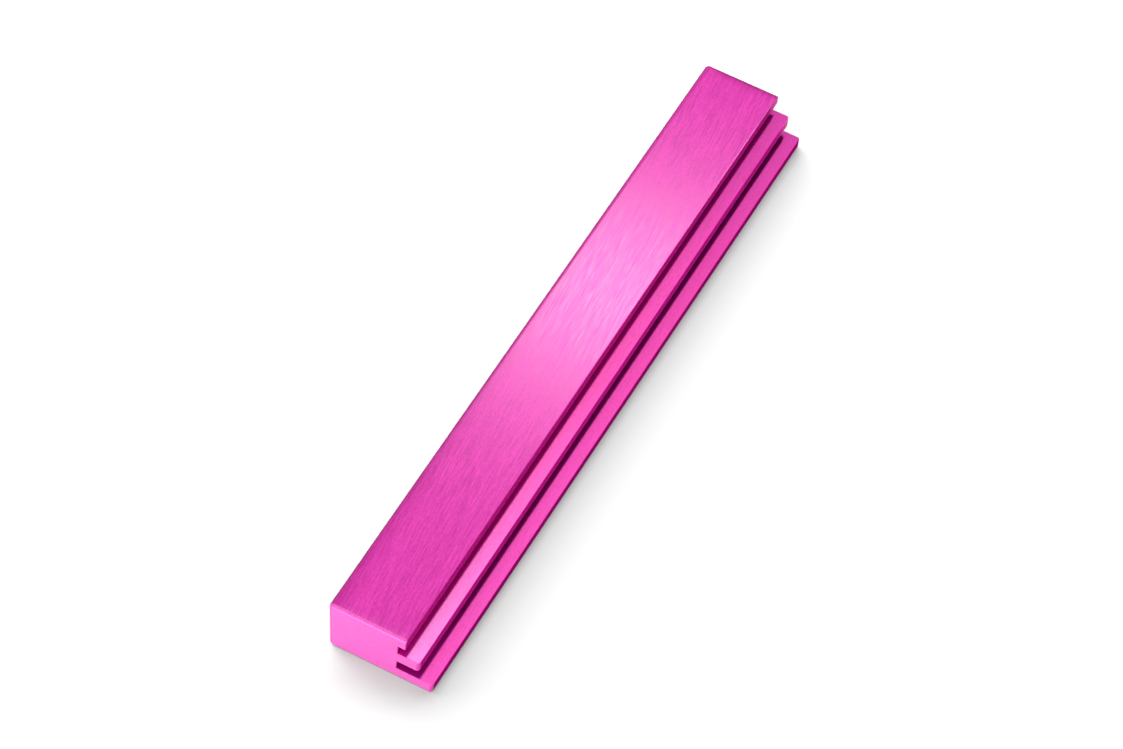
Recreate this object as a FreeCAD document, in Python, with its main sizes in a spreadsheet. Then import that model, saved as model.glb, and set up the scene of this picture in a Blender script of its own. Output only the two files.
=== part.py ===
# Side edge file guide with a fixed bevel: a grooved aluminium bar, six disc magnets that hold the
# file against the bar's sloping seat, and two plastic glide strips under it.
#
# Frame: millimetres, +Y along the bar, +Z up from the surface that the strips stand on, and the
# file seat on the -X side. The origin is at the middle of the bar's footprint, on that surface.

import FreeCAD, Part
import os

import Sketcher
from FreeCAD import Placement, Rotation, Vector

SIZES = {
    # The bar's outline. The seat leans in by bevel_angle towards the underside.
    "bar_length": 150.0,
    "bar_height": 11.6,
    "overall_width": 21.7,
    "bevel_angle": 3.0,
    # The stepped side: three fins, each fin_step wider than the one above, and two equal slots.
    "top_face_width": 15.8,
    "fin_step": 2.95,
    "lower_fin": 2.3,
    "middle_fin": 2.4,
    "slot_height": 2.2,
    "slot_root": 14.3,
    # Rounding: the seat's end corners, the top face's ends and seat side, the top fin's crisp outer
    # edge, the two lower fins' end corners in plan, and the edges around the underside and slots.
    "seat_corner_radius": 0.85,
    "top_rim_radius": 0.9,
    "top_fin_edge_radius": 0.15,
    "tip_corner_radius": 0.6,
    "base_rim_radius": 0.4,
    "slot_rim_radius": 0.15,
    # File magnets, set below the seat so that the file rests on the bar.
    "magnet_count": 6,
    "magnet_pitch": 25.0,
    "magnet_diameter": 8.0,
    "magnet_thickness": 4.0,
    "magnet_chamfer": 0.3,
    "magnet_recess": 0.2,
    "magnet_height": 5.8,
    "magnet_clearance": 0.05,
    # Glide strips in shallow pockets, standing proud of the underside.
    "strip_length": 140.0,
    "strip_width": 4.0,
    "strip_thickness": 0.8,
    "strip_corner_radius": 1.5,
    "strip_clearance": 0.05,
    "pocket_depth": 0.6,
    "seat_strip_offset": -6.0,
    "fin_strip_offset": 6.5,
}

# Expressions that several sub-parts share.
LEFT = "-sizes.overall_width / 2"
SLOPE = "tan(sizes.bevel_angle * 1deg)"
STAND = "(sizes.strip_thickness - sizes.pocket_depth)"
SEAT_AT_MAGNETS = f"{LEFT} + (sizes.bar_height - sizes.magnet_height) * {SLOPE}"
FIRST_MAGNET = "-sizes.magnet_pitch * (sizes.magnet_count - 1) / 2"

ON_AXIS = 1e-6


def make_sheet(doc):
    """Put every driving dimension in a named cell."""
    sheet = doc.addObject("Spreadsheet::Sheet", "sizes")
    for row, (alias, value) in enumerate(SIZES.items(), start=1):
        sheet.set(f"A{row}", alias)
        sheet.set(f"B{row}", str(value))
        sheet.setAlias(f"B{row}", alias)
    doc.recompute()


def add_body(doc, name):
    """Make an empty body whose label names the sub-part."""
    body = doc.addObject("PartDesign::Body", name)
    body.Label = name
    return body


def origin_feature(body, role):
    """Find one of the body's own origin planes or axes."""
    return next(item for item in body.Origin.OriginFeatures if item.Role == role)


def add_sketch(body, name, plane):
    """Attach a new sketch to one of the body's own origin planes."""
    sketch = body.newObject("Sketcher::SketchObject", name)
    sketch.AttachmentSupport = [(origin_feature(body, plane), "")]
    sketch.MapMode = "FlatFace"
    return sketch


def pin_point(sketch, line, end, across, up):
    """Hold a line's end at a place given by two expressions, measured from the sketch's origin."""
    point = sketch.getPoint(line, end)
    for kind, value, expression in (("DistanceX", point.x, across), ("DistanceY", point.y, up)):
        number = sketch.addConstraint(Sketcher.Constraint(kind, -1, 1, line, end, value))
        sketch.setExpression(f"Constraints[{number}]", expression)


def add_polygon(sketch, corners):
    """Draw a closed outline through corners given as pairs of expressions.

    The lines start as a regular ring, and the constraints then pull each corner to its place.
    """
    count = len(corners)
    first = sketch.GeometryCount
    ring = [Rotation(Vector(0, 0, 1), 360 * k / count).multVec(Vector(5, 0, 0)) for k in range(count)]
    for index in range(count):
        sketch.addGeometry(Part.LineSegment(ring[index], ring[(index + 1) % count]))
    for index in range(count):
        after = first + (index + 1) % count
        sketch.addConstraint(Sketcher.Constraint("Coincident", first + index, 2, after, 1))
    for index, (across, up) in enumerate(corners):
        pin_point(sketch, first + index, 1, across, up)


def add_rectangle(sketch, low, high):
    """Draw a rectangle between two opposite corners given as pairs of expressions."""
    add_polygon(sketch, [low, (high[0], low[1]), high, (low[0], high[1])])


def add_fillet(body, name, base, edges, size):
    """Round the chosen edges of the base feature by the radius in a named cell."""
    fillet = body.newObject("PartDesign::Fillet", name)
    fillet.Base = (base, edges)
    fillet.setExpression("Radius", f"sizes.{size}")
    body.Document.recompute()
    return fillet


def edges_where(feature, test):
    """Name the feature's edges whose two end points pass a test."""
    named = enumerate(feature.Shape.Edges, start=1)
    return [f"Edge{n}" for n, edge in named if len(edge.Vertexes) == 2 and test(*edge.Vertexes)]


def is_upright(start, end):
    """Tell whether an edge climbs steeply and stays in one plane across the bar."""
    return abs(start.Y - end.Y) < ON_AXIS and abs(start.Z - end.Z) > abs(start.X - end.X) + ON_AXIS


def make_guide_body(doc):
    """The bar: stepped blank, slots, rounded edges, magnet bores and strip pockets."""
    body = add_body(doc, "guide_body")
    body.setExpression("Placement.Base.z", STAND)
    blank = add_blank(body)
    slots = add_slots(body)
    eased = ease_edges(body, slots)
    bores = add_magnet_bores(body)
    pockets = add_strip_pockets(body)
    body.Tip = pockets
    doc.recompute()
    check_cuts([(blank, slots), (slots, eased), (eased, bores), (bores, pockets)])
    return body


def add_blank(body):
    """Pad the stepped outline, with the sloping seat on the left, to the bar's length."""
    tips = [f"{LEFT} + sizes.top_face_width + sizes.fin_step * {n}" for n in (0, 1, 2)]
    lower_step = "sizes.lower_fin + sizes.slot_height / 2"
    upper_step = "sizes.lower_fin + sizes.slot_height * 1.5 + sizes.middle_fin"
    outline = add_sketch(body, "outline", "XZ_Plane")
    add_polygon(outline, [
        (f"{LEFT} + sizes.bar_height * {SLOPE}", "0"),
        (tips[2], "0"),
        (tips[2], lower_step),
        (tips[1], lower_step),
        (tips[1], upper_step),
        (tips[0], upper_step),
        (tips[0], "sizes.bar_height"),
        (LEFT, "sizes.bar_height"),
    ])
    blank = body.newObject("PartDesign::Pad", "blank")
    blank.Profile = outline
    blank.SideType = "Symmetric"
    blank.setExpression("Length", "sizes.bar_length")
    body.Document.recompute()
    return blank


def add_slots(body):
    """Saw the two slots along the whole bar, both to the same root."""
    root = f"{LEFT} + sizes.slot_root"
    outside = f"{LEFT} + sizes.overall_width + sizes.fin_step"
    slot_floors = ("sizes.lower_fin", "sizes.lower_fin + sizes.slot_height + sizes.middle_fin")
    saw_cuts = add_sketch(body, "saw_cuts", "XZ_Plane")
    for floor in slot_floors:
        add_rectangle(saw_cuts, (root, floor), (outside, f"{floor} + sizes.slot_height"))
    slots = body.newObject("PartDesign::Pocket", "slots")
    slots.Profile = saw_cuts
    slots.SideType = "Symmetric"
    slots.setExpression("Length", "sizes.bar_length * 2")
    body.Document.recompute()
    return slots


def ease_edges(body, slots):
    """Round the seat's corners, the top face's rim, the fins' ends, the underside's rim and the slots'."""
    half = SIZES["bar_length"] / 2
    half_width = SIZES["overall_width"] / 2
    height = SIZES["bar_height"]
    root = SIZES["slot_root"] - half_width
    top_fin = SIZES["top_face_width"] - half_width
    top_fin_floor = SIZES["lower_fin"] + SIZES["middle_fin"] + 2 * SIZES["slot_height"]

    def is_beyond(x, start, end):
        return min(start.X, end.X) > x + ON_AXIS

    def at_seat(start, end):
        return is_upright(start, end) and start.X < 0

    def on_top_rim(start, end):
        return min(start.Z, end.Z) > height - ON_AXIS and not is_beyond(root, start, end)

    def on_top_fin_edge(start, end):
        above_slot = max(start.Z, end.Z) > top_fin_floor + ON_AXIS
        return above_slot and is_beyond(top_fin - 2 * ON_AXIS, start, end)

    def at_tip(start, end):
        return is_upright(start, end) and abs(start.Y) > half - ON_AXIS and is_beyond(top_fin, start, end)

    def on_base_rim(start, end):
        return max(start.Z, end.Z) < ON_AXIS

    def on_slot_rim(start, end):
        level = abs(start.Z - end.Z) < ON_AXIS and ON_AXIS < start.Z < top_fin_floor + ON_AXIS
        return level and is_beyond(root, start, end)

    seat = add_fillet(body, "seat_corners", slots, edges_where(slots, at_seat), "seat_corner_radius")
    rim = add_fillet(body, "top_rim", seat, edges_where(seat, on_top_rim), "top_rim_radius")
    fin_edge = edges_where(rim, on_top_fin_edge)
    top = add_fillet(body, "top_fin_edge", rim, fin_edge, "top_fin_edge_radius")
    tips = add_fillet(body, "tip_corners", top, edges_where(top, at_tip), "tip_corner_radius")
    base = add_fillet(body, "base_rim", tips, edges_where(tips, on_base_rim), "base_rim_radius")
    return add_fillet(body, "slot_rims", base, edges_where(base, on_slot_rim), "slot_rim_radius")


def add_magnet_bores(body):
    """Cut one blind bore square to the seat and repeat it along the bar."""
    mouth = add_sketch(body, "bore_mouth", "YZ_Plane")
    mouth.AttachmentOffset = Placement(Vector(), Rotation(Vector(1, 0, 0), -SIZES["bevel_angle"]))
    mouth.setExpression("AttachmentOffset.Base.y", "sizes.magnet_height")
    mouth.setExpression("AttachmentOffset.Base.z", SEAT_AT_MAGNETS)
    circle = mouth.addGeometry(Part.Circle(Vector(-60, 0, 0), Vector(0, 0, 1), 4))
    radius = mouth.addConstraint(Sketcher.Constraint("Radius", circle, 4))
    mouth.setExpression(f"Constraints[{radius}]", "sizes.magnet_diameter / 2 + sizes.magnet_clearance")
    pin_point(mouth, circle, 3, FIRST_MAGNET, "0")
    bore = body.newObject("PartDesign::Pocket", "magnet_bore")
    bore.Profile = mouth
    bore.Reversed = True
    bore.setExpression("Length", "sizes.magnet_thickness + sizes.magnet_recess")
    body.Document.recompute()
    bores = body.newObject("PartDesign::LinearPattern", "magnet_bores")
    bores.Originals = [bore]
    bores.Direction = (origin_feature(body, "Y_Axis"), [""])
    bores.setExpression("Length", "sizes.magnet_pitch * (sizes.magnet_count - 1)")
    bores.setExpression("Occurrences", "sizes.magnet_count")
    body.Tip = bores
    body.Document.recompute()
    return bores


def add_strip_outline(sketch, middle, clearance):
    """Draw a strip's rectangle about a middle line, grown on all sides by a clearance."""
    half_width = f"(sizes.strip_width / 2 + {clearance})"
    half_length = f"(sizes.strip_length / 2 + {clearance})"
    low = (f"{middle} - {half_width}", f"-{half_length}")
    high = (f"{middle} + {half_width}", half_length)
    add_rectangle(sketch, low, high)


def add_strip_pockets(body):
    """Mill the two shallow pockets for the glide strips, with cutter-round corners."""
    outlines = add_sketch(body, "pocket_outlines", "XY_Plane")
    for middle in ("sizes.seat_strip_offset", "sizes.fin_strip_offset"):
        add_strip_outline(outlines, middle, "sizes.strip_clearance")
    milled = body.newObject("PartDesign::Pocket", "milled_pockets")
    milled.Profile = outlines
    milled.Reversed = True
    milled.setExpression("Length", "sizes.pocket_depth")
    body.Document.recompute()
    end = SIZES["strip_length"] / 2 + SIZES["strip_clearance"]
    depth = SIZES["pocket_depth"]

    def at_pocket_corner(start, end_point):
        square_to_bar = is_upright(start, end_point) and abs(abs(start.Y) - end) < ON_AXIS
        return square_to_bar and max(start.Z, end_point.Z) < depth + ON_AXIS

    corners = edges_where(milled, at_pocket_corner)
    return add_fillet(body, "pocket_corners", milled, corners, "strip_corner_radius")


def check_cuts(pairs):
    """Stop if a feature that should take material away has not."""
    for before, after in pairs:
        if after.Shape.Volume > before.Shape.Volume - ON_AXIS:
            raise RuntimeError(f"{after.Label} cut nothing")


def make_file_magnet(doc, number):
    """A disc magnet with chamfered rims, square to the seat and set a little below it."""
    body = add_body(doc, f"file_magnet_{number}")
    radius = "sizes.magnet_diameter / 2"
    thickness = "sizes.magnet_thickness"
    chamfer = "sizes.magnet_chamfer"
    half_section = add_sketch(body, "half_section", "XZ_Plane")
    add_polygon(half_section, [
        ("0", "0"),
        (f"{radius} - {chamfer}", "0"),
        (radius, chamfer),
        (radius, f"{thickness} - {chamfer}"),
        (f"{radius} - {chamfer}", thickness),
        ("0", thickness),
    ])
    disc = body.newObject("PartDesign::Revolution", "disc")
    disc.Profile = half_section
    disc.ReferenceAxis = (half_section, ["V_Axis"])
    disc.Angle = 360
    body.Placement = Placement(Vector(), Rotation(Vector(0, 1, 0), 90 - SIZES["bevel_angle"]))
    sunk_x = "sizes.magnet_recess * cos(sizes.bevel_angle * 1deg)"
    sunk_z = "sizes.magnet_recess * sin(sizes.bevel_angle * 1deg)"
    body.setExpression("Placement.Base.x", f"{SEAT_AT_MAGNETS} + {sunk_x}")
    body.setExpression("Placement.Base.y", f"{FIRST_MAGNET} + sizes.magnet_pitch * {number - 1}")
    body.setExpression("Placement.Base.z", f"{STAND} + sizes.magnet_height + {sunk_z}")
    doc.recompute()
    return body


def make_glide_strip(doc, name, offset):
    """A flat plastic strip with rounded corners, standing on the ground plane."""
    body = add_body(doc, name)
    body.setExpression("Placement.Base.x", f"sizes.{offset}")
    outline = add_sketch(body, "strip_outline", "XY_Plane")
    add_strip_outline(outline, "0", "0")
    strip = body.newObject("PartDesign::Pad", "strip")
    strip.Profile = outline
    strip.setExpression("Length", "sizes.strip_thickness")
    doc.recompute()
    add_fillet(body, "strip_corners", strip, edges_where(strip, is_upright), "strip_corner_radius")
    return body


def check_document(doc, bodies):
    """Stop if any object failed to build or any sub-part isn't one sound solid."""
    for item in doc.Objects:
        if "Invalid" in item.State or "Error" in item.State:
            raise RuntimeError(f"{item.Label} failed to build")
    for body in bodies:
        if body.Shape.isNull() or not body.Shape.isValid() or len(body.Shape.Solids) != 1:
            raise RuntimeError(f"{body.Label} isn't one sound solid")


def main():
    """Build every sub-part and write each one to its own file."""
    doc = FreeCAD.newDocument("edge_file_guide")
    make_sheet(doc)
    bodies = [make_guide_body(doc)]
    for number in range(1, SIZES["magnet_count"] + 1):
        bodies.append(make_file_magnet(doc, number))
    bodies.append(make_glide_strip(doc, "base_glide_strip_seat_side", "seat_strip_offset"))
    bodies.append(make_glide_strip(doc, "base_glide_strip_fin_side", "fin_strip_offset"))
    doc.recompute()
    check_document(doc, bodies)
    os.makedirs("parts", exist_ok=True)
    for body in bodies:
        body.Shape.exportStep(f"parts/{body.Label}.step")
        box = body.Shape.BoundBox
        print(body.Label, round(body.Shape.Volume, 2), box)


main()
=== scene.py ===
"""Looks of the side edge file guide: a brushed, dyed and anodised bar, six plated magnets in its
seat and two plastic glide strips under it, lying on a white studio floor."""

import math

import bmesh
import bpy
from mathutils import Matrix, Quaternion, Vector


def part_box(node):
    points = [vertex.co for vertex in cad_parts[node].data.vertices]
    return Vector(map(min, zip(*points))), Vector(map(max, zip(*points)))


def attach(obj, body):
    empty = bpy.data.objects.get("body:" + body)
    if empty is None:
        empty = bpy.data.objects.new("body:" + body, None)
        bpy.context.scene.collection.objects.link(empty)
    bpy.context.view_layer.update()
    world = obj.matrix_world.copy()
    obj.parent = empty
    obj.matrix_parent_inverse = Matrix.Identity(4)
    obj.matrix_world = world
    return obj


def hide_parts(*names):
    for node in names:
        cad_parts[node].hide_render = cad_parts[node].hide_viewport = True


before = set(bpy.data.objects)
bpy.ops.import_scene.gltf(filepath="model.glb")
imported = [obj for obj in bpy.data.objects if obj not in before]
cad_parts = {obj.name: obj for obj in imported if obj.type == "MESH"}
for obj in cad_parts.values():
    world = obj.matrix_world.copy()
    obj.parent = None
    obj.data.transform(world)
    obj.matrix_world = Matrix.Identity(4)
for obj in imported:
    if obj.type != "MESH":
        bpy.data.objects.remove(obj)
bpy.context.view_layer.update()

MM = 0.001
MICRON = 0.000001

# The bar's section, in millimetres, as the frame's own design has it.
BEVEL = math.radians(3.0)
TOP_FACE_WIDTH = 15.8
FIN_STEP = 2.95
LOWER_FIN = 2.3
MIDDLE_FIN = 2.4
SLOT_HEIGHT = 2.2
SLOT_ROOT = 14.3

# Rounding radii, in millimetres.
SEAT_CORNER = 0.85
TOP_RIM = 0.9
TOP_FIN_EDGE = 0.15
TIP_CORNER = 0.6
BASE_RIM = 0.4
SLOT_RIM = 0.15
MAGNET_RIM = 0.3
STRIP_RIM = 0.15

# Magnets and glide strips, in millimetres.
MAGNETS = 6
MAGNET_PITCH = 25.0
MAGNET_RADIUS = 4.0
MAGNET_THICKNESS = 4.0
MAGNET_RECESS = 0.2
MAGNET_HEIGHT = 5.8
BORE_RADIUS = 4.05
BORE_CHAMFER = 0.2
STRIPS = ("base_glide_strip_seat_side", "base_glide_strip_fin_side")
STRIP_CORNER = 1.5
STRIP_CLEARANCE = 0.05
POCKET_DEPTH = 0.6

# The bar's box, in millimetres. The origin is at the middle of its width and length.
bar_low, bar_high = (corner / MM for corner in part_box("guide_body"))
HALF_LENGTH = bar_high.y
LEFT = -bar_high.x
BASE = bar_low.z
TOP = bar_high.z

# Where the slots' inner walls, the fins' tips, and the slots' floors and roofs are.
ROOT = LEFT + SLOT_ROOT
TIPS = [LEFT + TOP_FACE_WIDTH + FIN_STEP * n for n in range(3)]
LOWER_FLOOR = BASE + LOWER_FIN
LOWER_ROOF = LOWER_FLOOR + SLOT_HEIGHT
UPPER_FLOOR = LOWER_ROOF + MIDDLE_FIN
UPPER_ROOF = UPPER_FLOOR + SLOT_HEIGHT

# Faces whose middle is above this height belong to the two upper fins, and others to the base.
BASE_END = LOWER_FLOOR + 1.0

# How near two places count as one, in millimetres.
TOUCHING = 0.0001
CLOSE = 0.01

# How far a face's normal has to point along an axis, from 0 to 1, for the face to count as level
# (up or down), square (across or along the bar), nearly level, rounded or steep. The last one is
# for a face that doesn't turn to the near end.
LEVEL = 0.99
SQUARE = 0.995
NEARLY_LEVEL = 0.95
ROUNDED = 0.1
STEEP = 0.3
AWAY_FROM_NEAR_END = -0.05

# Edges that turn more than this stay sharp in the shading.
SHARP = math.radians(30)


# ---------------------------------------------------------------- meshes

def new_object(name, bm, materials):
    """Turn a bmesh in millimetres into a scene object in metres."""
    bmesh.ops.recalc_face_normals(bm, faces=bm.faces)
    mesh = bpy.data.meshes.new(name)
    bm.to_mesh(mesh)
    bm.free()
    mesh.transform(Matrix.Scale(MM, 4))
    for material in materials:
        mesh.materials.append(material)
    piece = bpy.data.objects.new(name, mesh)
    bpy.context.scene.collection.objects.link(piece)
    return piece


def smooth(piece):
    """Shade the rounded edges smoothly while the flats keep their own normals."""
    for face in piece.data.polygons:
        face.use_smooth = True
    piece.data.set_sharp_from_angle(angle=SHARP)
    weighted = piece.modifiers.new("even_normals", "WEIGHTED_NORMAL")
    weighted.keep_sharp = True
    weighted.weight = 100
    apply_modifiers(piece)


def apply_modifiers(piece):
    """Replace the piece's mesh by its modified one."""
    graph = bpy.context.evaluated_depsgraph_get()
    modified = bpy.data.meshes.new_from_object(piece.evaluated_get(graph))
    modified.name = piece.data.name
    piece.modifiers.clear()
    piece.data = modified


def bevel(bm, edges, radius, segments):
    """Round the chosen edges of a bmesh."""
    bmesh.ops.bevel(
        bm, geom=edges, offset=radius, offset_type="OFFSET", segments=segments,
        profile=0.5, affect="EDGES", clamp_overlap=False, loop_slide=True,
    )


def turned(bm, profile, place, segments=96):
    """Add a closed turned solid: profile points are (radius, height), both ends on the axis."""
    rings = []
    for radius, height in profile:
        if radius == 0:
            rings.append([bm.verts.new(place @ Vector((0, 0, height)))])
            continue
        ring = []
        for step in range(segments):
            angle = math.tau * step / segments
            point = Vector((radius * math.cos(angle), radius * math.sin(angle), height))
            ring.append(bm.verts.new(place @ point))
        rings.append(ring)
    for lower, upper in zip(rings, rings[1:]):
        for step in range(segments):
            after = (step + 1) % segments
            corners = [lower[step % len(lower)], lower[after % len(lower)],
                       upper[after % len(upper)], upper[step % len(upper)]]
            bm.faces.new(list(dict.fromkeys(corners)))


def rounded_slab(bm, middle, half_width, half_length, radius, low, high, arc_steps=8):
    """Add a flat slab with rounded corners between two heights."""
    outline = []
    for quarter, (side, end) in enumerate(((1, 1), (-1, 1), (-1, -1), (1, -1))):
        centre = (middle + side * (half_width - radius), end * (half_length - radius))
        for step in range(arc_steps + 1):
            angle = math.pi / 2 * (quarter + step / arc_steps)
            outline.append((centre[0] + radius * math.cos(angle),
                            centre[1] + radius * math.sin(angle)))
    floor = [bm.verts.new((x, y, low)) for x, y in outline]
    roof = [bm.verts.new((x, y, high)) for x, y in outline]
    bm.faces.new(floor[::-1])
    bm.faces.new(roof)
    for here in range(len(outline)):
        after = (here + 1) % len(outline)
        bm.faces.new((floor[here], floor[after], roof[after], roof[here]))


def seat_x(height):
    """Where the sloping seat is at a height above the bar's underside."""
    return LEFT + (TOP - BASE - height) * math.tan(BEVEL)


def seat_place(number):
    """The frame of one magnet: at the seat's face, local +Z square into the bar."""
    along = MAGNET_PITCH * (number - (MAGNETS - 1) / 2)
    at = Vector((seat_x(MAGNET_HEIGHT), along, BASE + MAGNET_HEIGHT))
    return Matrix.Translation(at) @ Matrix.Rotation(math.pi / 2 - BEVEL, 4, "Y")


def comb_section():
    """The bar's outline across its length, counterclockwise from the seat's foot."""
    return [
        (seat_x(0), BASE), (TIPS[2], BASE),
        (TIPS[2], LOWER_FLOOR), (ROOT, LOWER_FLOOR),
        (ROOT, LOWER_ROOF), (TIPS[1], LOWER_ROOF),
        (TIPS[1], UPPER_FLOOR), (ROOT, UPPER_FLOOR),
        (ROOT, UPPER_ROOF), (TIPS[0], UPPER_ROOF),
        (TIPS[0], TOP), (LEFT, TOP),
    ]


def is_level(edge, height):
    """Tell whether an edge lies at a height."""
    return all(abs(vert.co.z - height) < TOUCHING for vert in edge.verts)


def is_beyond(edge, x):
    """Tell whether an edge lies wholly on the fins' side of a place across the bar."""
    return all(vert.co.x > x for vert in edge.verts)


def climbs(edge):
    """Tell whether an edge climbs a fin or the seat at one of the bar's ends."""
    start, end = (vert.co for vert in edge.verts)
    return abs(start.y - end.y) < TOUCHING and abs(start.z - end.z) > LOWER_FIN / 2


def is_top_fin_edge(edge):
    """Tell whether an edge is at the top fin's tip, above the fin's underside."""
    at_tip = is_beyond(edge, TIPS[0] - CLOSE) and not is_beyond(edge, TIPS[0] + CLOSE)
    return at_tip and max(vert.co.z for vert in edge.verts) > UPPER_ROOF + CLOSE


def is_lower_tip_corner(edge):
    """Tell whether an edge is an upright corner of the middle or the lower fin."""
    return climbs(edge) and is_beyond(edge, TIPS[0] + CLOSE)


def comb_blank():
    """The bar with rounded edges, before the bores and pockets."""
    bm = bmesh.new()
    near_end = bm.faces.new([bm.verts.new((x, -HALF_LENGTH, z)) for x, z in comb_section()])
    grown = bmesh.ops.extrude_face_region(bm, geom=[near_end])
    moved = [item for item in grown["geom"] if isinstance(item, bmesh.types.BMVert)]
    bmesh.ops.translate(bm, verts=moved, vec=(0, 2 * HALF_LENGTH, 0))
    bmesh.ops.recalc_face_normals(bm, faces=bm.faces)
    bevel(bm, [e for e in bm.edges if climbs(e) and e.verts[0].co.x < 0], SEAT_CORNER, segments=8)
    bevel(bm, [e for e in bm.edges if is_level(e, TOP) and not is_beyond(e, ROOT)], TOP_RIM, segments=8)
    bevel(bm, [e for e in bm.edges if is_top_fin_edge(e)], TOP_FIN_EDGE, segments=4)
    bevel(bm, [e for e in bm.edges if is_lower_tip_corner(e)], TIP_CORNER, segments=7)
    bevel(bm, [e for e in bm.edges if is_level(e, BASE)], BASE_RIM, segments=5)
    bm.normal_update()
    rims = [e for e in bm.edges if e.is_convex and e.calc_face_angle(0) > SHARP * 2]
    bevel(bm, rims, SLOT_RIM, segments=3)
    return bm


def zone_of(face):
    """Name the part of the bar that a face belongs to."""
    normal, centre = face.normal, face.center / MM
    is_high = centre.z > BASE_END
    if normal.x > ROUNDED and normal.z > STEEP and centre.z > TOP - TOP_FIN_EDGE:
        return "fin_rim"
    if normal.z > LEVEL or normal.z > NEARLY_LEVEL and normal.x > ROUNDED:
        if centre.z > TOP - TOP_RIM:
            return "top"
        return "upper_tread" if is_high else "lower_tread"
    if normal.z < -LEVEL:
        return "slot" if is_high else "underside"
    if normal.x > SQUARE and centre.x < (ROOT + TIPS[0]) / 2:
        return "slot"
    if normal.x > SQUARE:
        return "side" if is_high else "base_side"
    if normal.x < -SQUARE:
        return "seat"
    if abs(normal.y) > SQUARE:
        return "end"
    if abs(normal.y) > ROUNDED and normal.z > ROUNDED:
        return "far_rim" if normal.y > 0 else "near_rim"
    if normal.z > ROUNDED and normal.x < -ROUNDED:
        return "seat_rim"
    if normal.x > STEEP and normal.y > AWAY_FROM_NEAR_END:
        return "side" if is_high else "base_side"
    return "rim"


def guide_body(materials):
    """The finished bar, with a material for each of its machined faces."""
    zones = list(materials)
    bar = new_object("guide_bar", comb_blank(), materials.values())
    cutters = bmesh.new()
    outside = 1.0
    for number in range(MAGNETS):
        depth = MAGNET_THICKNESS + MAGNET_RECESS
        mouth = BORE_RADIUS + BORE_CHAMFER
        profile = [(0, -outside), (mouth + outside, -outside), (BORE_RADIUS, BORE_CHAMFER),
                   (BORE_RADIUS, depth), (0, depth)]
        turned(cutters, profile, seat_place(number))
    for strip in STRIPS:
        low, high = (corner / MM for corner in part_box(strip))
        half_width = (high.x - low.x) / 2 + STRIP_CLEARANCE
        rounded_slab(cutters, (low.x + high.x) / 2, half_width, high.y + STRIP_CLEARANCE,
                     STRIP_CORNER, BASE - outside, BASE + POCKET_DEPTH)
    cutter = new_object("cutter", cutters, [])
    cut = bar.modifiers.new("bores_and_pockets", "BOOLEAN")
    cut.object = cutter
    cut.solver = "EXACT"
    apply_modifiers(bar)
    bpy.data.objects.remove(cutter)
    for face in bar.data.polygons:
        face.material_index = zones.index(zone_of(face))
    smooth(bar)
    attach(bar, "root")
    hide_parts("guide_body")


def quarter_turn(radius, height, size, toward, steps=4):
    """Points of a rounded rim on a turned profile; toward is +1 going out, -1 going in."""
    points = []
    for step in range(steps + 1):
        angle = math.pi / 2 * step / steps
        out, up = math.sin(angle), math.cos(angle)
        if toward < 0:
            out, up = up, out
        points.append((radius - size + size * out, height + toward * size - toward * size * up))
    return points


def file_magnet(number, material):
    """One plated disc with rounded rims, in its bore."""
    bm = bmesh.new()
    sunk = seat_place(number) @ Matrix.Translation((0, 0, MAGNET_RECESS))
    profile = [(0, 0), (MAGNET_RADIUS / 2, 0)]
    profile += quarter_turn(MAGNET_RADIUS, 0, MAGNET_RIM, 1)
    profile += quarter_turn(MAGNET_RADIUS, MAGNET_THICKNESS, MAGNET_RIM, -1)
    profile += [(0, MAGNET_THICKNESS)]
    turned(bm, profile, sunk)
    node = f"file_magnet_{number + 1}"
    disc = new_object(f"plated_{node}", bm, [material])
    smooth(disc)
    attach(disc, "root")
    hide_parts(node)


def glide_strip(node, material):
    """One plastic strip with eased edges, in its pocket."""
    low, high = (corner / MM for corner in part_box(node))
    bm = bmesh.new()
    half_width = (high.x - low.x) / 2
    rounded_slab(bm, (low.x + high.x) / 2, half_width, high.y, STRIP_CORNER, low.z, high.z)
    bmesh.ops.recalc_face_normals(bm, faces=bm.faces)
    bevel(bm, [e for e in bm.edges if is_level(e, low.z)], STRIP_RIM, segments=3)
    strip = new_object(f"plastic_{node}", bm, [material])
    smooth(strip)
    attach(strip, "root")
    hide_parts(node)


# ---------------------------------------------------------------- materials

def node_tree(name):
    """A new material, its node tree and its shader."""
    material = bpy.data.materials.new(name)
    material.use_nodes = True
    tree = material.node_tree
    return material, tree, tree.nodes["Principled BSDF"]


# The part of a noise's range that holds nearly all its values.
NOISE_LOW = 0.3
NOISE_HIGH = 0.7


def grain(tree, turn, stretch, scale, detail=3.0):
    """Noise turned by three angles and drawn out along the axes, in the object's own space."""
    place = tree.nodes.new("ShaderNodeTexCoord")
    lay = tree.nodes.new("ShaderNodeMapping")
    lay.vector_type = "TEXTURE"
    lay.inputs["Rotation"].default_value = turn
    lay.inputs["Scale"].default_value = stretch
    noise = tree.nodes.new("ShaderNodeTexNoise")
    noise.inputs["Scale"].default_value = scale
    noise.inputs["Detail"].default_value = detail
    noise.inputs["Roughness"].default_value = 0.6
    tree.links.new(place.outputs["Object"], lay.inputs["Vector"])
    tree.links.new(lay.outputs["Vector"], noise.inputs["Vector"])
    return noise.outputs["Fac"]


def spread(tree, value, low, high):
    """Map a noise's usual range to low..high."""
    node = tree.nodes.new("ShaderNodeMapRange")
    node.inputs["From Min"].default_value = NOISE_LOW
    node.inputs["From Max"].default_value = NOISE_HIGH
    node.inputs["To Min"].default_value = low
    node.inputs["To Max"].default_value = high
    tree.links.new(value, node.inputs["Value"])
    return node.outputs["Result"]


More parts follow.
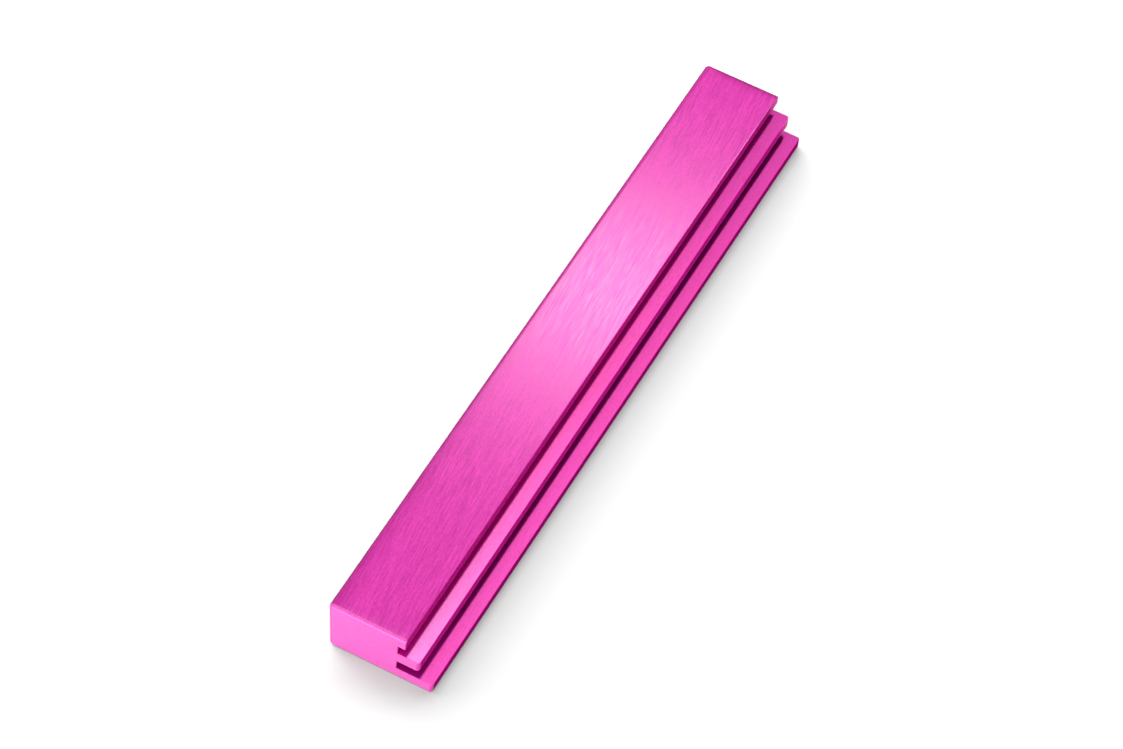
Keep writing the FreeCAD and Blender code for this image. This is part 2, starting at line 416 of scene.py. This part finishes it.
def colour_mix(tree):
    """A node that mixes its A and B colours by its factor."""
    node = tree.nodes.new("ShaderNodeMix")
    node.data_type = "RGBA"
    return node


def blend_colours(tree, factor, first, second):
    """A colour between two, by a factor."""
    node = colour_mix(tree)
    node.inputs["A"].default_value = (*first, 1)
    node.inputs["B"].default_value = (*second, 1)
    tree.links.new(factor, node.inputs["Factor"])
    return node.outputs["Result"]


def ramp(tree, axis, start, end, curve="LINEAR"):
    """Rise from 0 to 1 between two places, in millimetres, along one axis of the object's space."""
    place = tree.nodes.new("ShaderNodeTexCoord")
    axes = tree.nodes.new("ShaderNodeSeparateXYZ")
    node = tree.nodes.new("ShaderNodeMapRange")
    node.interpolation_type = curve
    node.inputs["From Min"].default_value = start * MM
    node.inputs["From Max"].default_value = end * MM
    tree.links.new(place.outputs["Object"], axes.inputs["Vector"])
    tree.links.new(axes.outputs[axis], node.inputs["Value"])
    return node.outputs["Result"]


def dye_and_painted_light(tree, axis, stops):
    """The base colour along one axis: the dyed pink, with painted light and shade where the stops
    change it. The stops are pairs of a place, in millimetres, and a colour.
    """
    start, end = stops[0][0], stops[-1][0]
    node = tree.nodes.new("ShaderNodeValToRGB")
    band = node.color_ramp.elements
    band[0].color = (*stops[0][1], 1)
    band[-1].color = (*stops[-1][1], 1)
    for place, colour in stops[1:-1]:
        band.new((place - start) / (end - start)).color = (*colour, 1)
    tree.links.new(ramp(tree, axis, start, end), node.inputs["Fac"])
    return node.outputs["Color"]


def painted_light_at_edge(tree, tint, axis, start, end, colour):
    """Painted shade, highlight or reflection at one edge of a face: another colour up to start,
    that gives way to the tint by end.
    """
    node = colour_mix(tree)
    node.inputs["A"].default_value = (*colour, 1)
    tree.links.new(ramp(tree, axis, start, end, "SMOOTHSTEP"), node.inputs["Factor"])
    tree.links.new(tint, node.inputs["B"])
    return node.outputs["Result"]


def streaked(tree, tint, pattern, contrast):
    """The tint made lighter and darker by a pattern."""
    node = colour_mix(tree)
    node.blend_type = "MULTIPLY"
    node.clamp_result = True
    node.inputs["Factor"].default_value = 1.0
    tree.links.new(tint, node.inputs["A"])
    tree.links.new(spread(tree, pattern, 1 - contrast, 1 + contrast), node.inputs["B"])
    return node.outputs["Result"]


def bump(tree, shader, height, strength, distance):
    """Raise the surface by a height pattern, by up to a distance in metres."""
    node = tree.nodes.new("ShaderNodeBump")
    node.inputs["Strength"].default_value = strength
    node.inputs["Distance"].default_value = distance
    tree.links.new(height, node.inputs["Height"])
    tree.links.new(node.outputs["Normal"], shader.inputs["Normal"])


def plain(colour):
    """One colour all along an axis, as two stops of a colour ramp."""
    return ((-1, colour), (1, colour))


PINK = plain((0.70, 0.035, 0.40))

# How far a pattern is drawn out along each axis.
ALONG = (1, 40, 1)
ACROSS = (40, 1, 1)
SHORT = (1, 2.5, 1)
EVEN = (1, 1, 1)

# The three angles of a pattern that isn't turned.
UNTURNED = (0, 0, 0)

# The brushed finish: the noise scales of its lines and of the speckles between them, the detail of
# both, how far the roughness varies from line to line, and the oxide's refractive index.
LINE_SCALE = 8000
SPECKLE_SCALE = 3200
FINISH_DETAIL = 2.0
ROUGHNESS_SPREAD = 0.07
OXIDE_IOR = 1.6


def anodised(name, colours=PINK, axis="Y", edges=(), angle=0.0, stretch=ALONG, streaks=0.22,
             mottle=0.18, rough=0.44, gloss=0.5, metal=0.03, brushed=0.0):
    """Brushed aluminium under a dyed, sealed oxide layer.

    colours are the base colour's stops along axis: the dyed pink, and on most faces painted light and
    shade in it. edges holds, for each edge of a face with a painted shade, highlight or reflection,
    what the edge function needs. angle turns the grain about +Z. streaks is the contrast of its lines,
    and mottle that of the speckles between them. gloss is the specular level, metal the share of bare
    metallic shine, and brushed how far the reflections are drawn out across the grain.
    """
    material, tree, shader = node_tree(name)
    turn = (0, 0, angle)
    lines = grain(tree, turn, stretch, LINE_SCALE, FINISH_DETAIL)
    speckle = grain(tree, turn, SHORT, SPECKLE_SCALE, FINISH_DETAIL)
    # The base colour: the dyed pink, with painted light and shade in it on most faces.
    tint = dye_and_painted_light(tree, axis, colours)
    # Painted shade, highlights and reflections at the edges of some faces.
    for edge in edges:
        tint = painted_light_at_edge(tree, tint, *edge)
    tint = streaked(tree, streaked(tree, tint, lines, streaks), speckle, mottle)
    roughness = spread(tree, lines, rough - ROUGHNESS_SPREAD, rough + ROUGHNESS_SPREAD)
    tree.links.new(tint, shader.inputs["Base Color"])
    tree.links.new(roughness, shader.inputs["Roughness"])
    shader.inputs["Metallic"].default_value = metal
    shader.inputs["IOR"].default_value = OXIDE_IOR
    shader.inputs["Specular IOR Level"].default_value = gloss
    bump(tree, shader, lines, strength=0.5, distance=10 * MICRON)
    if brushed:
        tangent = tree.nodes.new("ShaderNodeTangent")
        tangent.direction_type = "RADIAL"
        tangent.axis = "Y"
        tree.links.new(tangent.outputs["Tangent"], shader.inputs["Tangent"])
        shader.inputs["Anisotropic"].default_value = brushed
        shader.inputs["Anisotropic Rotation"].default_value = (angle / math.tau) % 1
    return material


def plated():
    """Satin nickel plating with faint pressing marks."""
    material, tree, shader = node_tree("nickel_plating")
    cloud = grain(tree, UNTURNED, EVEN, scale=700)
    dull, bright = (0.50, 0.47, 0.42), (0.57, 0.54, 0.49)
    colour = blend_colours(tree, spread(tree, cloud, low=0, high=1), dull, bright)
    tree.links.new(colour, shader.inputs["Base Color"])
    tree.links.new(spread(tree, cloud, low=0.18, high=0.26), shader.inputs["Roughness"])
    shader.inputs["Metallic"].default_value = 1.0
    bump(tree, shader, cloud, strength=0.08, distance=20 * MICRON)
    return material


def glide_plastic():
    """Natural white polyethylene with the skiving marks of its sheet."""
    material, tree, shader = node_tree("white_polyethylene")
    lengthwise = (1, 10, 1)
    marks = grain(tree, UNTURNED, lengthwise, scale=2500)
    cream, white = (0.74, 0.74, 0.71), (0.84, 0.84, 0.82)
    colour = blend_colours(tree, spread(tree, marks, low=0, high=1), cream, white)
    tree.links.new(colour, shader.inputs["Base Color"])
    tree.links.new(spread(tree, marks, low=0.45, high=0.6), shader.inputs["Roughness"])
    shader.inputs["Subsurface Weight"].default_value = 0.2
    shader.inputs["Subsurface Radius"].default_value = (MM, MM, MM)
    shader.inputs["Subsurface Scale"].default_value = 0.5
    bump(tree, shader, marks, strength=0.2, distance=30 * MICRON)
    return material


# ---------------------------------------------------------------- studio

# The camera's direction and roll, its distance from its target in metres, its lens and sensor in
# millimetres, and the end of its sight in metres.
VIEW_AZIMUTH = math.radians(22.0)
VIEW_ELEVATION = math.radians(52.16)
VIEW_ROLL = math.radians(7.35)
VIEW_DISTANCE = 0.813
VIEW_TARGET = Vector((0.00065, -0.0081, 0.0118))
LENS = 141.1
SENSOR_WIDTH = 36
FARTHEST_SEEN = 20

WHITE = (1, 1, 1)
FAINTLY_WARM = (1.0, 0.99, 0.925)
WORLD_STRENGTH = 0.14

# The floor's colour is dark and its own lights are strong. It looks white, but hardly takes on the
# bar's pink. Its half side is in millimetres.
FLOOR_COLOUR = (0.18, 0.18, 0.18)
FLOOR_HALF_SIDE = 3000

# Each light's name, its place and size in metres, its power in watts and its tone. The object's
# are a key from behind, one above and one in front.
OBJECT_LIGHTS = (
    ("key", (-0.026, 0.342, 0.450), (0.03, 0.05), 3.0, FAINTLY_WARM),
    ("top", (-0.12, -0.30, 0.75), (0.5, 0.6), 2.3, WHITE),
    ("front", (-0.06, -0.84, 0.12), (0.5, 0.16), 7, WHITE),
)
FLOOR_LIGHTS = (
    ("floor_key", (-0.65, 0.56, 0.60), (1.1, 1.1), 62, WHITE),
    ("floor_side", (-0.80, -0.05, 0.60), (0.9, 0.9), 28, WHITE),
    ("floor_back", (0.35, 0.75, 0.60), (0.9, 0.9), 19, WHITE),
    ("floor_fill", (0.12, -0.60, 0.95), (0.9, 0.9), 38, WHITE),
)


def camera():
    """A long lens from the near end, above and a little to the fins' side."""
    flat = math.cos(VIEW_ELEVATION)
    forward = Vector((-math.sin(VIEW_AZIMUTH) * flat, math.cos(VIEW_AZIMUTH) * flat,
                      -math.sin(VIEW_ELEVATION)))
    data = bpy.data.cameras.new("camera")
    data.lens = LENS
    data.sensor_width = SENSOR_WIDTH
    data.clip_end = FARTHEST_SEEN
    eye = bpy.data.objects.new("camera", data)
    eye.rotation_mode = "QUATERNION"
    eye.rotation_quaternion = forward.to_track_quat("-Z", "Y") @ Quaternion((0, 0, 1), VIEW_ROLL)
    eye.location = VIEW_TARGET - forward * VIEW_DISTANCE
    bpy.context.scene.collection.objects.link(eye)
    bpy.context.scene.camera = eye


def softbox(name, place, size, power, tone, lit):
    """A soft area light that faces the bar and lights only the pieces of one collection."""
    data = bpy.data.lights.new(name, "AREA")
    data.shape = "RECTANGLE"
    data.size, data.size_y = size
    data.energy = power
    data.color = tone
    lamp = bpy.data.objects.new(name, data)
    lamp.location = place
    lamp.rotation_mode = "QUATERNION"
    lamp.rotation_quaternion = (-Vector(place)).to_track_quat("-Z", "Y")
    lamp.light_linking.receiver_collection = lit
    bpy.context.scene.collection.objects.link(lamp)


def floor():
    """A plain floor that looks white under its own lights."""
    bm = bmesh.new()
    bmesh.ops.create_grid(bm, x_segments=1, y_segments=1, size=FLOOR_HALF_SIDE)
    material, _, shader = node_tree("floor_white")
    shader.inputs["Base Color"].default_value = (*FLOOR_COLOUR, 1)
    shader.inputs["Roughness"].default_value = 0.9
    shader.inputs["Specular IOR Level"].default_value = 0.0
    plane = new_object("studio_floor", bm, [material])
    return plane


def group(name, pieces):
    """A collection of pieces, for the lights."""
    collection = bpy.data.collections.new(name)
    for piece in pieces:
        collection.objects.link(piece)
    return collection


def studio(plane):
    """White surroundings, lights for the object, and others for the floor alone."""
    world = bpy.data.worlds.new("white_room")
    world.use_nodes = True
    world.node_tree.nodes["Background"].inputs["Color"].default_value = (*WHITE, 1)
    world.node_tree.nodes["Background"].inputs["Strength"].default_value = WORLD_STRENGTH
    bpy.context.scene.world = world
    bpy.context.scene.view_settings.view_transform = "Standard"
    meshes = [thing for thing in bpy.context.scene.objects if thing.type == "MESH"]
    lit_object = group("lit_object", [thing for thing in meshes if thing != plane])
    lit_floor = group("lit_floor", [plane])
    for light in OBJECT_LIGHTS:
        softbox(*light, lit_object)
    for light in FLOOR_LIGHTS:
        softbox(*light, lit_floor)


# ---------------------------------------------------------------- the bar's finishes

# Where the top face's flat part starts and ends along the bar.
TOP_START = TOP_RIM - HALF_LENGTH
TOP_END = HALF_LENGTH - TOP_RIM

# Base colours as stops: a place along an axis, in millimetres, and a colour. They hold the dyed
# pink with painted light and shade laid into it.
# The top: painted light toward the near end, painted shade toward the far end, and a band of painted shade
# at the far edge.
TOP_DYE_AND_PAINTED_LIGHT = (
    (TOP_START, (0.65, 0.062, 0.405)), (TOP_START + 0.8, (0.63, 0.047, 0.39)),
    (TOP_START + 2.6, (0.655, 0.043, 0.388)), (TOP_END - 1.9, (0.535, 0.026, 0.322)),
    (TOP_END - 0.7, (0.49, 0.022, 0.29)), (TOP_END - 0.3, (0.425, 0.016, 0.25)),
    (TOP_END, (0.366, 0.0135, 0.21)),
)
# The upper tread: a painted highlight toward the near end, giving way to painted shade toward the far end.
UPPER_TREAD_DYE_AND_PAINTED_LIGHT = (
    (-HALF_LENGTH, (0.98, 0.250, 0.72)), (-50, (0.95, 0.170, 0.62)), (-28, (0.93, 0.120, 0.54)),
    (-6, (0.82, 0.087, 0.45)), (27, (0.69, 0.060, 0.385)), (60, (0.53, 0.038, 0.31)),
    (HALF_LENGTH, (0.50, 0.036, 0.30)),
)
# The lower tread: the same painted highlight and shade, weaker.
LOWER_TREAD_DYE_AND_PAINTED_LIGHT = (
    (-HALF_LENGTH, (0.81, 0.081, 0.48)), (-28, (0.79, 0.073, 0.465)), (5, (0.72, 0.060, 0.40)),
    (38, (0.62, 0.045, 0.34)), (HALF_LENGTH, (0.50, 0.036, 0.30)),
)
# A painted highlight along the top fin's rounded edge, brightest in the far half and darker toward both
# ends.
FIN_RIM_PAINTED_HIGHLIGHT = (
    (-20, (0.62, 0.014, 0.30)), (20, (0.80, 0.090, 0.48)), (62, (0.84, 0.145, 0.54)),
    (74, (0.55, 0.04, 0.32)),
)
# Painted shade in the slots: a darker copy of the pink, darker still from 12 mm to 45 mm along the bar.
SLOT_PAINTED_SHADE = ((12, (0.41, 0.004, 0.20)), (45, (0.14, 0.001, 0.080)))

# Painted shade on the fins' sides: a darker copy of the pink, darker still on the top fin's side.
# It goes up the sides, from the top of the middle fin to the foot of the top fin.
SIDE_PAINTED_SHADE = ((UPPER_FLOOR, (0.63, 0.012, 0.32)), (UPPER_ROOF, (0.565, 0.011, 0.272)))

# Painted shade, highlights and reflections at the edges of faces: an axis, the place where the
# painted colour starts to give way, the place where it has gone, and the colour.
# Painted shade along the top's seat edge.
TOP_SEAT_EDGE_PAINTED_SHADE = ("X", LEFT + 0.7, LEFT + 4.0, (0.53, 0.028, 0.314))
# Painted shade on the upper tread at the slot's mouth, under the top fin's overhang.
UPPER_SLOT_MOUTH_PAINTED_SHADE = ("X", TIPS[0], TIPS[0] + 0.5, (0.72, 0.005, 0.36))
# Painted shade on the lower tread at the slot's mouth, under the middle fin's overhang.
LOWER_SLOT_MOUTH_PAINTED_SHADE = ("X", TIPS[1], TIPS[1] + 0.5, (0.43, 0.0025, 0.24))
# Painted light at the treads' far ends, where light comes in under the overhangs: the painted shade at the
# slot mouths stops there.
TREAD_FAR_EDGE_PAINTED_LIGHT = ("Y", HALF_LENGTH - 0.6, HALF_LENGTH - 2.4, (0.50, 0.032, 0.30))
# A painted reflection on the fins' sides near their far tips.
FAR_TIP_PAINTED_REFLECTION = ("Y", HALF_LENGTH - 0.8, HALF_LENGTH - 5.2, (0.95, 0.14, 0.52))
# Painted shade at the outer edge of the seat rim.
SEAT_RIM_OUTER_PAINTED_SHADE = ("X", LEFT, LEFT + 0.8, (0.28, 0.012, 0.145))

# Surfaces that share a finish.
TREAD = dict(angle=math.radians(3), streaks=0.15, mottle=0.09, brushed=0.3, rough=0.6, gloss=0.05)
FLANK = dict(streaks=0.2, gloss=0.0, rough=0.6)
HIDDEN_FACE = dict(brushed=0.5, metal=0.3)
DULL_RIM = dict(streaks=0.1, rough=0.5, gloss=0.1)

FINISHES = {
    "top": dict(colours=TOP_DYE_AND_PAINTED_LIGHT, edges=(TOP_SEAT_EDGE_PAINTED_SHADE,), angle=math.radians(4.5), mottle=0.12,
                brushed=1.0, rough=0.355, gloss=0.135),
    "upper_tread": dict(colours=UPPER_TREAD_DYE_AND_PAINTED_LIGHT, edges=(UPPER_SLOT_MOUTH_PAINTED_SHADE, TREAD_FAR_EDGE_PAINTED_LIGHT), **TREAD),
    "lower_tread": dict(colours=LOWER_TREAD_DYE_AND_PAINTED_LIGHT, edges=(LOWER_SLOT_MOUTH_PAINTED_SHADE, TREAD_FAR_EDGE_PAINTED_LIGHT), **TREAD),
    "side": dict(colours=SIDE_PAINTED_SHADE, axis="Z", edges=(FAR_TIP_PAINTED_REFLECTION,), **FLANK),
    # The base's side is painted darker than the pink, as shade.
    "base_side": dict(colours=plain((0.45, 0.0035, 0.21)), **FLANK),
    "slot": dict(colours=SLOT_PAINTED_SHADE, **FLANK),
    # Both ends are painted lighter and whiter than the pink, as painted light.
    "end": dict(colours=plain((0.83, 0.082, 0.395)), stretch=ACROSS, streaks=0.16, mottle=0.28, gloss=0.3),
    "seat": HIDDEN_FACE,
    "underside": HIDDEN_FACE,
    "fin_rim": dict(colours=FIN_RIM_PAINTED_HIGHLIGHT, **DULL_RIM),
    "rim": dict(streaks=0.1, rough=0.45, metal=0.35),
    # The near rim is painted whiter than the pink, as a painted highlight.
    "near_rim": dict(colours=plain((0.70, 0.072, 0.40)), streaks=0.1, rough=0.5, metal=0.2, gloss=0.4),
    # The seat rim is painted darker than the pink, as shade, and darker still at its outer edge.
    "seat_rim": dict(colours=plain((0.47, 0.030, 0.27)), edges=(SEAT_RIM_OUTER_PAINTED_SHADE,), **DULL_RIM),
    # The far rim is painted dark, as shade.
    "far_rim": dict(colours=plain((0.24, 0.011, 0.13)), **DULL_RIM),
}


# ---------------------------------------------------------------- the scene

guide_body({zone: anodised(f"anodised_{zone}", **finish) for zone, finish in FINISHES.items()})
nickel = plated()
for magnet in range(MAGNETS):
    file_magnet(magnet, nickel)
plastic = glide_plastic()
for strip in STRIPS:
    glide_strip(strip, plastic)
studio(floor())
camera()
